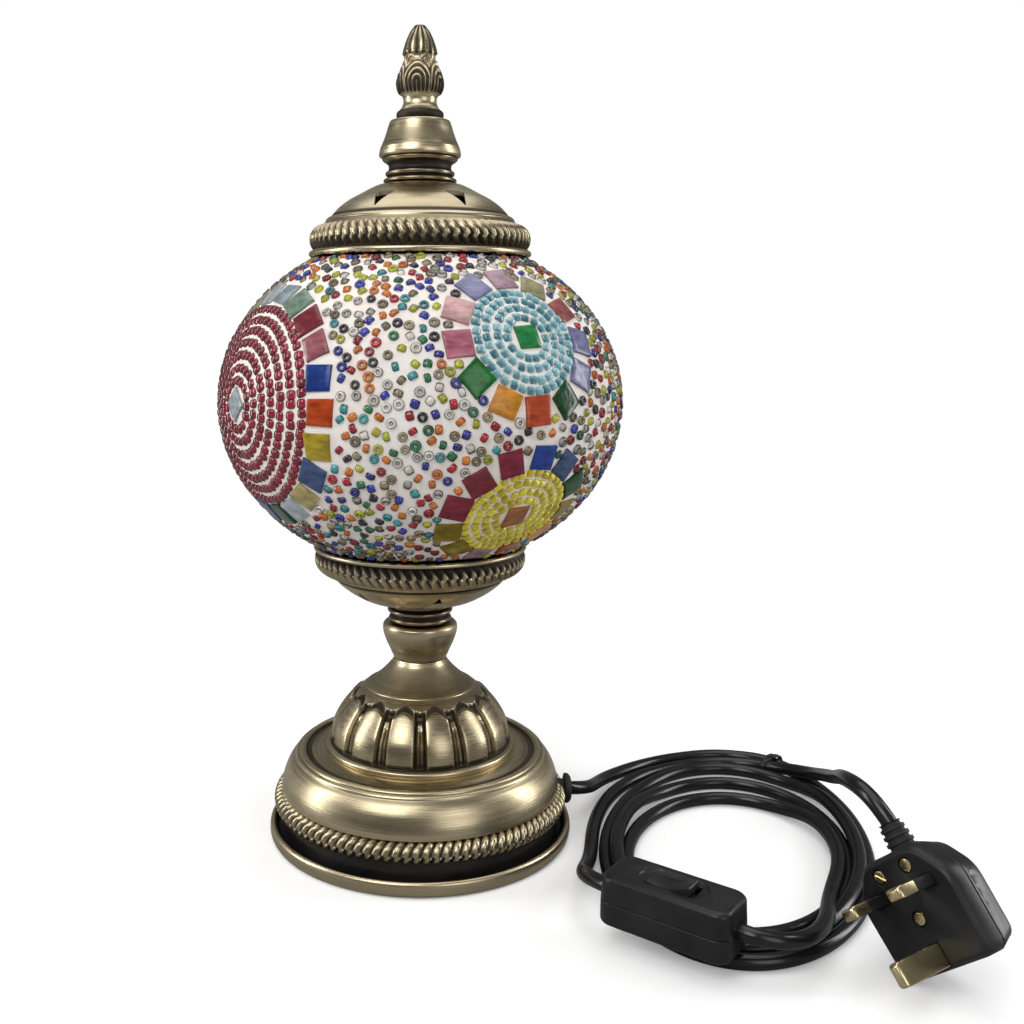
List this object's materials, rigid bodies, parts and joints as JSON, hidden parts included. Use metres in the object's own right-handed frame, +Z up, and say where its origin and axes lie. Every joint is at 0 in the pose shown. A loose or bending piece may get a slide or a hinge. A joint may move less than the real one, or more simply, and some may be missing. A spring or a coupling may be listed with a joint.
{
  "type": "table lamp",
  "caption": "Table lamp with a beaded mosaic glass globe, domed metal cap with finial, fluted metal foot, black flex, rocker switch and three-pin plug.",
  "frame": {"origin": "lamp axis where the foot's felt meets the table", "axes": "+Z up along the lamp's axis, +X the way the flex leaves the foot, -Y the front"},
  "size_m": [0.2829, 0.2319, 0.3436],
  "materials": {
    "antique_brass": "antique, brushed",
    "dark_brass": "dark patina",
    "bright_brass": "plain",
    "zinc_steel": "zinc plated",
    "cast_iron": "as cast",
    "black_plastic": "satin",
    "black_flex": "PVC sheath",
    "black_rubber": "matt",
    "felt": "felt",
    "clear_glass": "clear",
    "opal_glass": "opal",
    "mosaic": "white grout with glass beads and tiles",
    "white_ceramic": "plain"
  },
  "bodies": {
    "lamp": {"foot_tray": "antique_brass", "base_shell": "antique_brass", "base_bell": "antique_brass", "lower_cup": "antique_brass", "lower_dish": "antique_brass", "lower_neck_collar": "dark_brass", "lampholder_contact": "bright_brass", "lampholder_screw_shell": "bright_brass", "live_pin": "bright_brass", "neutral_pin": "bright_brass", "earth_pin": "bright_brass", "plug_cover_screw": "bright_brass", "cord_grip_screw_a": "bright_brass", "cord_grip_screw_b": "bright_brass", "switch_contact_a": "bright_brass", "switch_contact_b": "bright_brass", "threaded_rod": "zinc_steel", "rod_nut_bottom": "zinc_steel", "rod_washer": "zinc_steel", "rod_nut_top": "zinc_steel", "switch_screw_a": "zinc_steel", "switch_screw_b": "zinc_steel", "ballast_weight": "cast_iron", "lampholder_base": "black_plastic", "lampholder_skirt": "black_plastic", "cable_tie": "black_plastic", "switch_bottom_shell": "black_plastic", "switch_top_shell": "black_plastic", "plug_base": "black_plastic", "plug_cover": "black_plastic", "live_pin_sleeve": "black_plastic", "neutral_pin_sleeve": "black_plastic", "cord_lamp_to_switch": "black_flex", "cord_switch_to_plug": "black_flex", "cord_grommet": "black_rubber", "globe_gasket": "black_rubber", "plug_strain_relief": "black_rubber", "felt_pad": "felt", "globe_glass": "clear_glass", "mosaic_shell": "mosaic", "lamp_wires": "white_ceramic", "switch_cradle": "white_ceramic", "plug_fuse": "white_ceramic"},
    "cap": {"top_cap": "antique_brass", "upper_neck_collar": "dark_brass", "finial_cone": "antique_brass", "finial": "antique_brass", "cap_stud": "zinc_steel", "cap_nut": "zinc_steel", "clip_bridge": "zinc_steel", "bridge_nut": "zinc_steel", "spring_clip_1": "zinc_steel", "spring_clip_2": "zinc_steel", "spring_clip_3": "zinc_steel"},
    "bulb_carrier": {"bulb_contact": "zinc_steel"},
    "bulb": {"bulb_glass": "opal_glass", "bulb_screw_cap": "bright_brass"},
    "rocker": {"rocker_button": "black_plastic", "rocker_pin": "zinc_steel"}
  },
  "joints": [
    {"name": "cap_lift", "type": "slide", "parent": "lamp", "child": "cap", "axis": [0, 0, 1], "range_m": [0, 0.06]},
    {"name": "bulb_travel", "type": "slide", "parent": "lamp", "child": "bulb_carrier", "axis": [0, 0, 1], "range_m": [0, 0.0198]},
    {"name": "bulb_turn", "type": "hinge", "parent": "bulb_carrier", "child": "bulb", "pos_m": [0, 0, 0.145], "axis": [0, 0, 1], "range_deg": [0, 2520]},
    {"name": "rocker_tilt", "type": "hinge", "parent": "lamp", "child": "rocker", "pos_m": [0.0905, -0.1055, 0.0238], "axis": [0.6157, 0.788, 0], "range_deg": [0, 18]}
  ],
  "couplings": [
    {"joint": "bulb_travel", "follows": "bulb_turn", "m_per_rad": 0.00044882}
  ]
}
